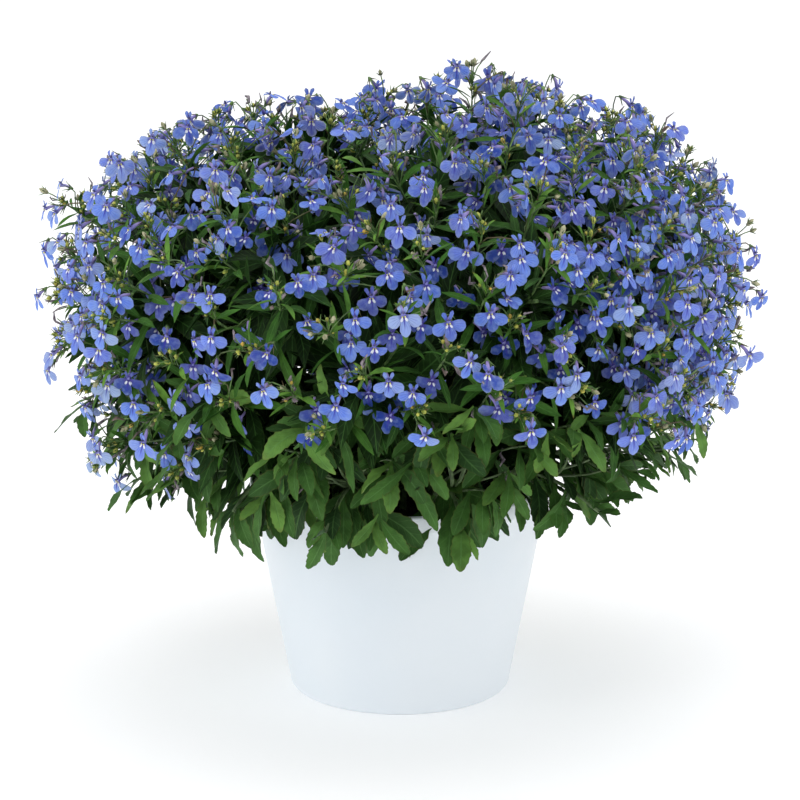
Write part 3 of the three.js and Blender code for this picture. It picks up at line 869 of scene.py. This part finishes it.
def new_bloom(shoot, root, leave, place, radial, deep):
    """One bloom with its throat at a place, and all that sets it apart from the others."""
    out = around(1, shoot["turn"], 0)
    crown = max(0.0, shoot["normal"][2] - 0.6)
    wander = rng.normal(0, 0.26 + 0.9 * crown, 3)
    facing = unit(shoot["normal"] * (0.62 - crown) + out * (0.5 - crown) + radial * 0.2 + wander)
    aside = np.clip(abs(shoot["normal"][0]) - 0.5, 0, 0.5)
    facing[1] -= crown + (1.3 * aside if shoot["normal"][1] < 0.3 else 0)
    facing[2] = np.clip(facing[2], -0.3, 0.75)
    facing = unit(facing)
    up = across_to(facing, UP)
    across = np.cross(up, facing)
    back = unit(-0.8 * facing + up * rng.uniform(0.0, 1.1) + across * rng.normal(0, 0.35))
    size = rng.uniform(0.76, 1.0)
    # Painted light: the tint is paler for blooms low down and towards the sides, most of all on the left,
    # standing in for more light falling there.
    low = fade(place[2], 210, 130)
    aside = np.clip(abs(place[0]) / DOME_RADIUS - 0.5, 0, 0.5)
    pale = 0.4 + 0.4 * low + (0.7 if place[0] < 0 else 0.4) * aside
    return {
        "owner": shoot["owner"],
        "place": place,
        "root": root,
        "leave": leave,
        "facing": facing,
        "roll": rng.normal(0, 0.2),
        "size": size,
        # deep blooms take a tint near 0, the darkest blue: painted shade
        "tint": np.clip(rng.normal(0.05 if deep else pale, 0.19), 0, 1),
        "openness": rng.uniform(0.1, 0.6),
        "back": back,
        "calyx": place + back * TUBE_LENGTH * size,
        "deep": deep,
    }


def plan_blooms(shoots):
    """The blooms of every shoot, on stalks of their own, none too close to another.

    The last one or two of a shoot sit deep among its leaves, in the shade of the others, and are given a
    darker tint as painted shade.
    """
    blooms = []
    taken = np.full((12 * len(shoots), 3), 1e6)
    for shoot in shoots:
        near = int(np.clip(round(crowding(shoot["tip"]) + rng.normal(0, 0.8)), 1, 9))
        turn = rng.uniform(0, TURN)
        distances = [*(4 + 5.0 * np.arange(near)), *rng.uniform(16, 34, rng.integers(1, 3))]
        points, headings = along_path(shoot["path"], distances)
        for j, (point, heading) in enumerate(zip(points, headings)):
            deep = j >= near
            turn += GOLDEN_ANGLE
            for _ in range(8):
                radial = spin_round(heading, turn)
                opening = rng.uniform(0.5, 1.15)
                stalk = unit(leaning(heading, radial, opening))
                place = point + stalk * (rng.uniform(8, 14) if deep else rng.uniform(12, 20))
                if np.linalg.norm(taken - place, axis=1).min() > BLOOM_SPACING:
                    taken[len(blooms)] = place
                    blooms.append(new_bloom(shoot, point, heading, place, radial, deep))
                    break
                turn += 0.8
    return blooms


def stalk_paths(blooms):
    """The thin stalk from each shoot to the calyx of its bloom."""
    paths = []
    for bloom in blooms:
        pull = 0.4 * np.linalg.norm(bloom["calyx"] - bloom["root"])
        start = bloom["root"] + bloom["leave"] * pull
        end = bloom["calyx"] + bloom["back"] * pull * 0.8
        paths.append(bezier(bloom["root"], start, end, bloom["calyx"], 5))
    return np.array(paths)


def near_ones(blooms):
    return [bloom for bloom in blooms if not bloom["deep"]]


def make_petals(index, blooms):
    """All the corollas of one spray, in place of its CAD node."""
    shape = Shape()
    near = near_ones(blooms)
    deep = [bloom for bloom in blooms if bloom["deep"]]
    add_lobes(shape, near, LIP_OUTLINE, HORN_OUTLINE, 5)
    add_tube(shape, near, 5)
    add_eyes(shape, near)
    if deep:
        add_lobes(shape, deep, DEEP_LIP_OUTLINE, DEEP_HORN_OUTLINE, 3)
        add_tube(shape, deep, 3)
    name = f"bloom_spray_{index + 1:02d}"
    mesh_piece(name + "_petals", shape, PETAL_SLOTS, [name])


def tip_growth(shoots):
    """The buds, seed capsules and wilted corollas at the tips of shoots, and their stalks."""
    groups = {"bud": [], "capsule": [], "wilted": []}
    stalks = []
    for shoot in shoots:
        count = rng.integers(5, 9)
        points, headings = along_path(shoot["path"], [0, 0, 1, 3, 6, 9, 12, 15])
        for j in range(count):
            kind = rng.choice(list(groups), p=[0.72, 0.14, 0.14] if j < 5 else [0.35, 0.25, 0.4])
            radial = spin_round(headings[j], rng.uniform(0, TURN))
            axis = unit(leaning(headings[j], radial, rng.uniform(0.2, 0.9)))
            reach = rng.uniform(3, 8) if kind == "bud" else rng.uniform(8, 14)
            centre = points[j] + axis * reach
            groups[kind].append((centre, axis))
            middle = (points[j] + centre) / 2 + headings[j] * reach * 0.12
            stalks.append([points[j], middle, centre])
    return groups, stalks


def make_stalks(index, blooms, shoots):
    """The stalks and calyxes of one spray, with its buds, seed capsules and wilted corollas."""
    shape = Shape()
    add_tubes(shape, stalk_paths(blooms), 0.36, 3, STALK, rng.uniform(0, 1, len(blooms)))
    near = near_ones(blooms)
    calyxes = values(near, "calyx")
    forwards = -values(near, "back")
    add_calyxes(shape, calyxes, forwards, 4.4)
    add_beads(shape, calyxes, forwards, 2.6, 1.0, 5, STALK, profile=STUB)
    groups, stalks = tip_growth(shoots)
    add_tubes(shape, stalks, 0.34, 3, STALK)
    for kind, length, radius, material in (("bud", 3.0, 1.0, BUD), ("capsule", 4.6, 1.25, CAPSULE)):
        centres, axes = (np.array(column) for column in zip(*groups[kind]))
        grown = rng.uniform(0.65, 1.15, len(centres))
        tints = rng.uniform(0, 0.9, len(centres))
        add_calyxes(shape, centres - axes * length * 0.3, axes, 3.4 * grown)
        add_beads(shape, centres, axes, length * grown, radius * grown, 5, material, tints)
    add_wilted(shape, groups["wilted"])
    mesh_piece(f"bloom_spray_{index + 1:02d}_stalks", shape, STALK_SLOTS)


def add_stem(shape, path, thick, thin, sides, material):
    """One round stem along every second point of a path, thinner towards its end."""
    line = path[::2]
    add_tubes(shape, line[None], np.linspace(thick, thin, len(line))[None], sides, material, 0.2)


# The leaves of a flowering shoot, as [distance back from its tip, length].
SHOOT_LEAVES = [(0.5, 6), (2, 8), (4.5, 11), (8, 15), (12, 18), (16.5, 21), (22, 23), (28, 25), (35, 27)]


def inner_leaves(path, distances, lengths):
    """Leaves inside the dome, given the darkest tints as painted shade."""
    # painted shade: tints near 0 give these leaves the leaf's darkest colour
    return shoot_leaves(path, distances, lengths, 0.135, rng.uniform(0, 0.22, len(distances)))


def make_flowering_stem(index, stem, shoots):
    """One stem with its side shoots and all their narrow leaves, in place of its CAD node."""
    shape = Shape()
    path = stem["path"]
    add_stem(shape, path, 2.0, 1.0, 6, STALK)
    narrow = []
    inner = []
    for shoot in shoots:
        add_stem(shape, shoot["path"], 0.95, 0.5, 3, STALK)
        distances, lengths = np.array(SHOOT_LEAVES).T
        count = len(lengths)
        lengths = lengths * rng.uniform(0.8, 1.15, count)
        tints = np.clip(np.linspace(0.9, 0.35, count) + rng.normal(0, 0.16, count), 0, 1)
        ratio = 0.09 + 0.035 * fade(shoot["tip"][2], 200, 120)
        narrow += shoot_leaves(shoot["path"], distances, lengths, ratio, tints)
        distances = np.arange(42, 82, 5)
        inner += inner_leaves(shoot["path"], distances, rng.uniform(24, 38, len(distances)))
    reach = np.linalg.norm(np.diff(path, axis=0), axis=1).sum() - ROOTED - 8
    distances = np.arange(2, reach, 2.1)
    lengths = rng.uniform(28, 46, len(distances)) * np.clip(0.5 + distances / 50, 0, 1)
    inner += inner_leaves(path, distances, lengths)
    add_blades(shape, narrow, NARROW_OUTLINE, 3, FLESHY, LEAF)
    add_blades(shape, inner, INNER_OUTLINE, 3, FLESHY, LEAF)
    name = f"flowering_stem_{index + 1:02d}"
    mesh_piece(name + "_leaves", shape, LEAF_SLOTS, [name])


def plan_leafy_shoots(stems):
    """Side shoots of the skirt stems, which fill the dome's lower edge under the blooms."""
    shoots = []
    offset = rng.uniform()
    for k in range(LEAFY_SHOOTS):
        turn = TURN * ((offset + k * EVEN_TURNS) % 1)
        top = bloom_floor_at(turn) + SKIRT_OVERLAP
        z = SKIRT_LOW + (top - SKIRT_LOW) * (k * EVEN_HEIGHTS % 1)
        point, normal = dome_at(z, turn)
        in_front = max(0.0, cos(turn - FRONT)) * fade(z, 112, 128)
        tip = point - normal * (rng.uniform(4, 18) + 13 * in_front)
        heading = unit(around(1, turn, 0) * 0.8 + UP * rng.uniform(-0.2, 0.5) + rng.normal(0, 0.15, 3))
        shoots.append(side_shoot(stems, tip, heading, rng.uniform(0.35, 0.7)))
    return shoots


def make_skirt_stem(index, stem, shoots):
    """One skirt stem with its toothed leaves, which hang over the rim, in place of its CAD node."""
    shape = Shape()
    path = stem["path"]
    add_stem(shape, path, 1.5, 0.8, 6, OLD_STEM)
    distances = np.arange(0, 62, 4.4)
    lengths = rng.uniform(24, 38, len(distances))
    tints = np.clip(rng.normal(0.46, 0.26, len(distances)), 0, 1)
    leaves = hanging_leaves(path, distances, lengths, 0.155, tints)
    scraps = []
    for shoot in shoots:
        add_stem(shape, shoot["path"], 0.8, 0.5, 4, OLD_STEM)
        distances = [0, 3, 7, 12, 18, 25, 32]
        count = len(distances)
        lengths = rng.uniform(22, 37, count) * np.linspace(0.7, 1, count)
        tints = np.clip(np.linspace(0.75, 0.22, count) + rng.normal(0, 0.2, count), 0, 1)
        leaves += hanging_leaves(shoot["path"], distances, lengths, 0.15, tints)
        if rng.uniform() < 0.45:
            points, _ = along_path(shoot["path"], [rng.uniform(4, 30)])
            scraps.append((points[0] - 3 * UP, unit(rng.normal(0, 0.6, 3) - UP)))
    add_blades(shape, leaves, TOOTHED_OUTLINE, 5, FLESHY, BROAD, ripple=0.12)
    if scraps:
        add_wilted(shape, scraps)
    name = f"skirt_stem_{index + 1:02d}"
    mesh_piece(name + "_leaves", shape, LEAF_SLOTS, [name])


def owned(things, index):
    return [thing for thing in things if thing["owner"] == index]


def grow_blooms():
    stems = [flowering_stem(i) for i in range(SPRAYS)]
    shoots = plan_shoots(stems)
    blooms = plan_blooms(shoots)
    for i, stem in enumerate(stems):
        make_petals(i, owned(blooms, i))
        make_stalks(i, owned(blooms, i), owned(shoots, i))
        make_flowering_stem(i, stem, owned(shoots, i))
    print(len(shoots), "shoots,", len(blooms), "blooms")


def grow_skirt():
    """The leafy stems under the blooms, from a seed of their own."""
    global rng
    rng = np.random.default_rng(SKIRT_SEED)
    stems = [skirt_stem(i) for i in range(SKIRT_STEMS)]
    shoots = plan_leafy_shoots(stems)
    for i, stem in enumerate(stems):
        make_skirt_stem(i, stem, owned(shoots, i))


# ---------------------------------------------------------------- pot and potting mix


def wall_radius(z):
    """The outer radius of the tapered wall at a height."""
    top = RIM_RADIUS - RIM_STEP
    climb = (z - BEVEL) / (POT_HEIGHT - RIM_BAND - BEVEL)
    return BASE_RADIUS + (top - BASE_RADIUS) * climb


def arc(centre, radius, start, end, steps):
    """Points of a round corner, as [radius, height]."""
    return [
        (centre[0] + radius * cos(a), centre[1] + radius * sin(a))
        for a in np.linspace(start, end, steps)
    ]


def revolved(profile, sides):
    """The points and faces of a closed profile that starts and ends on the axis, turned about it."""
    points = [(0, 0, profile[0][1])]
    for radius, z in profile[1:-1]:
        points += [tuple(around(radius, TURN * i / sides, z)) for i in range(sides)]
    points.append((0, 0, profile[-1][1]))
    rings = len(profile) - 2

    def ring(r, i):
        return 1 + r * sides + i % sides

    faces = [(0, ring(0, i + 1), ring(0, i)) for i in range(sides)]
    for r in range(rings - 1):
        faces += [(ring(r, i), ring(r, i + 1), ring(r + 1, i + 1), ring(r + 1, i)) for i in range(sides)]
    last = len(points) - 1
    faces += [(ring(rings - 1, i), ring(rings - 1, i + 1), last) for i in range(sides)]
    return points, faces


def solid_piece(name, points, faces, material, replaced, sharp_from=0.6):
    """One piece in place of a CAD node."""
    mesh = bpy.data.meshes.new(name)
    mesh.from_pydata([[c * MM for c in point] for point in points], [], faces)
    mesh.materials.append(material)
    mesh.shade_smooth()
    mesh.set_sharp_from_angle(angle=sharp_from)
    piece = new_object(name, mesh)
    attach(piece, "root")
    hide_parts(replaced)
    return piece


def new_drill(sides=24):
    """The cylinders that the drain holes are cut with, from under the floor to over it."""
    points = []
    faces = []
    for hole in range(DRAIN_HOLES):
        middle = around(DRAIN_RING, hole * TURN / DRAIN_HOLES, 0)
        start = len(points)
        for z in (-4, 8):
            for i in range(sides):
                points.append(tuple((middle + around(DRAIN_RADIUS, TURN * i / sides, z)) * MM))
        low = list(range(start, start + sides))
        high = list(range(start + sides, start + 2 * sides))
        faces.append(low[::-1])
        faces.append(high)
        for i in range(sides):
            after = (i + 1) % sides
            faces.append([low[i], low[after], high[after], high[i]])
    mesh = bpy.data.meshes.new("drill")
    mesh.from_pydata(points, [], faces)
    return new_object("drill", mesh)


def make_pot():
    """The pot with its rounded rim band and base, and drain holes through the floor."""
    under = POT_HEIGHT - RIM_BAND
    lip = 1.4  # the rounding of the rim on top, and of its band's lower edge
    edge = 1.2
    hollow = 1.2  # how far the underside is raised inside the foot
    foot = BASE_RADIUS - BEVEL
    profile = [(0, hollow), (foot - 6, hollow), (foot - 4, 0)]
    profile += arc((foot, BEVEL), BEVEL, -pi / 2, 0, 7)
    profile += [(wall_radius(z), z) for z in np.linspace(12, under - 1, 9)]
    profile += arc((RIM_RADIUS - edge, under + edge), edge, -pi / 2, 0, 5)
    profile += arc((RIM_RADIUS - lip, POT_HEIGHT - lip), lip, 0, pi / 2, 5)
    inner = wall_radius(POT_HEIGHT) - WALL
    profile += [(inner + 0.6, POT_HEIGHT), (inner, POT_HEIGHT - 0.6)]
    profile += [(wall_radius(z) - WALL, z) for z in np.linspace(POT_HEIGHT - 12, FLOOR + BEVEL, 8)]
    profile += [(wall_radius(FLOOR) - WALL - BEVEL, FLOOR), (0, FLOOR)]
    points, faces = revolved(profile, 160)
    pot = solid_piece("pot_shell", points, faces, pot_material(), "pot")
    drill = new_drill()
    cut = pot.modifiers.new("drain holes", "BOOLEAN")
    cut.operation = "DIFFERENCE"
    cut.solver = "EXACT"
    cut.object = drill
    with bpy.context.temp_override(object=pot, active_object=pot, selected_objects=[pot]):
        bpy.ops.object.modifier_apply(modifier=cut.name)
    bpy.data.objects.remove(drill)


def mix_radius(z):
    """The potting mix stays a hair clear of the wall."""
    return wall_radius(z) - WALL - 0.6


def make_potting_mix():
    """Crumbly peat up to just under the rim."""
    low = FLOOR + 0.4
    bend = low + BEVEL
    profile = [(0, low), (mix_radius(low) - BEVEL, low), (mix_radius(bend), bend)]
    profile += [(mix_radius(z), z) for z in np.linspace(20, MIX_EDGE, 5)]
    profile += [(mix_radius(MIX_EDGE) - 4, MIX_TOP - 1)]
    profile += [(r, MIX_TOP) for r in np.linspace(64, 3, 26)]
    profile += [(0, MIX_TOP)]
    points, faces = revolved(profile, 120)
    rough = []
    for x, y, z in points:
        if z > MIX_EDGE + 1:
            z += 2.4 * noise.noise(Vector((x, y, 0)) * 0.35) - 1.2
            z += 1.2 * noise.noise(Vector((x, y, 9)) * 0.9)
        rough.append((x, y, z))
    solid_piece("potting_mix_crumb", rough, faces, mix_material(), "potting_mix", 3.2)


# ---------------------------------------------------------------- floor, light and camera

CAMERA_PLACE = (0.0, -1.466, 0.5028)
CAMERA_AIM = (0.0, 0.0, 0.1463)
LENS = 136.6


def make_stage():
    reach = 14.0
    corners = [(x * reach, y * reach, 0) for x, y in ((-1, -1), (1, -1), (1, 1), (-1, 1))]
    mesh = bpy.data.meshes.new("floor")
    mesh.from_pydata(corners, [], [(0, 1, 2, 3)])
    n = Look("floor_white", (0.97, 0.97, 0.97), 0.9)
    n.set("Emission Color", (1, 1, 1))
    n.set("Emission Strength", 0.2)
    n.set("Specular IOR Level", 0.0)
    mesh.materials.append(n.material)
    floor = new_object("floor", mesh)


def aim(thing, place, target):
    """Puts a lamp or the camera at its place, facing its target."""
    thing.location = place
    thing.rotation_mode = "QUATERNION"
    thing.rotation_quaternion = (Vector(target) - Vector(place)).to_track_quat("-Z", "Y")


def soft_light(name, place, target, size, power):
    light = bpy.data.lights.new(name, "AREA")
    light.shape = "RECTANGLE"
    light.size, light.size_y = size
    light.energy = power
    aim(new_object(name, light), place, target)


def light_studio():
    """A bright room, darker behind the camera, with two lamps for the plant and two for the pot."""
    world = bpy.data.worlds.new("studio")
    bpy.context.scene.world = world
    world.use_nodes = True
    n = Nodes(world.node_tree)
    toward_back = n.parts(n.place("Generated"))[1]
    hue = n.mix(n.ramp(toward_back, -1.0, 0.1), (0.66, 0.7, 0.75), (1.0, 1.0, 1.0))
    background = world.node_tree.nodes["Background"]
    n.fill(background.inputs["Color"], hue)
    n.fill(background.inputs["Strength"], 0.97)
    middle = (0, 0, 0.2)
    soft_light("key", (-0.5, -1.5, 1.7), middle, (1.0, 1.0), 5.6)
    soft_light("top", (0.2, 0.1, 1.9), middle, (1.6, 1.6), 7)
    pot_middle = (0, 0, 0.05)
    soft_light("left", (-1.5, -0.5, 0.25), pot_middle, (0.5, 0.8), 3.3)
    soft_light("right", (1.5, -0.6, 0.25), pot_middle, (0.5, 0.8), 1.5)


def make_camera():
    camera = bpy.data.cameras.new("camera")
    camera.sensor_width = 36
    camera.lens = LENS
    camera.clip_end = 100
    eye = new_object("camera", camera)
    aim(eye, CAMERA_PLACE, CAMERA_AIM)
    bpy.context.scene.camera = eye


make_camera()
make_stage()
light_studio()
bpy.context.scene.view_settings.view_transform = "Standard"
make_pot()
make_potting_mix()
grow_blooms()
grow_skirt()
